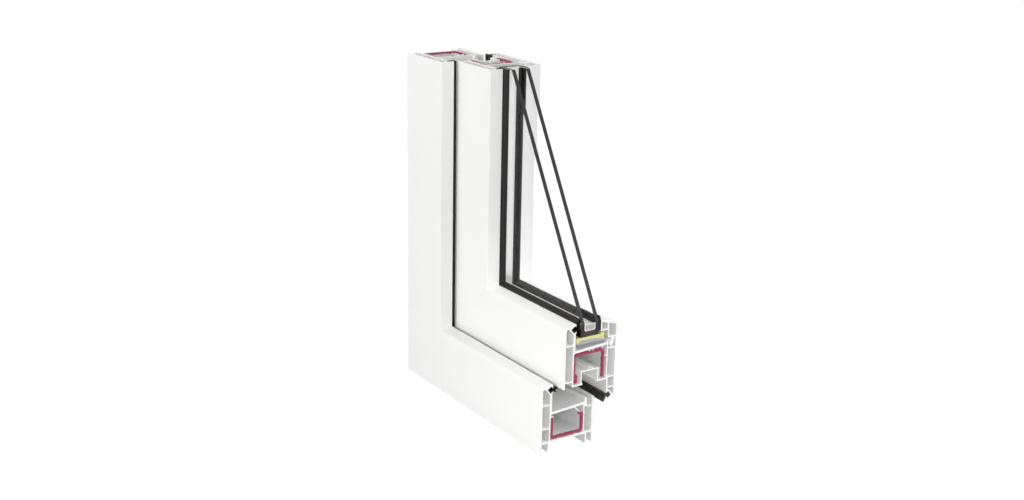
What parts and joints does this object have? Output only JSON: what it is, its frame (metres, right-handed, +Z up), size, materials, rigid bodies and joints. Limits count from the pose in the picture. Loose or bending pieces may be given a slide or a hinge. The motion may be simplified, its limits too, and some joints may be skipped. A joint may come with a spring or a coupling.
{
  "type": "window frame profile section",
  "caption": "Corner sample of a white plastic window: hollow frame and sash profiles with steel cores, gaskets, glazing beads and slant-cut double glass.",
  "frame": {"origin": "middle of the footprint's box, at floor height under the feet", "axes": "+X along the sill towards its cut end, +Y from outdoors to the room, +Z up the jamb"},
  "size_m": [0.25, 0.078, 0.333],
  "materials": {
    "pvc": "smooth white extruded plastic, low sheen",
    "galvanised_steel": "galvanised strip, saw-cut ends painted crimson",
    "gasket": "black extruded rubber",
    "glass": "clear float glass, cut edges dark",
    "spacer": "mill aluminium",
    "sealant": "dark brown edge sealant",
    "yellow_plastic": "pale yellow moulded plastic",
    "grey_plastic": "grey moulded plastic"
  },
  "bodies": {
    "root": {"frame_jamb": "pvc", "frame_sill": "pvc", "frame_steel_jamb": "galvanised_steel", "frame_steel_sill": "galvanised_steel", "frame_seal_jamb": "gasket", "frame_seal_sill": "gasket", "sash_stile": "pvc", "sash_rail": "pvc", "sash_steel_stile": "galvanised_steel", "sash_steel_rail": "galvanised_steel", "overlap_seal_stile": "gasket", "overlap_seal_rail": "gasket", "glazing_seal_stile": "gasket", "glazing_seal_rail": "gasket", "outer_pane": "glass", "inner_pane": "glass", "spacer_stile": "spacer", "spacer_rail": "spacer", "sealant_stile": "sealant", "sealant_rail": "sealant", "bead_stile": "pvc", "bead_rail": "pvc", "bead_seal_stile": "gasket", "bead_seal_rail": "gasket", "setting_block": "yellow_plastic", "block_bridge": "grey_plastic"}
  },
  "joints": []
}
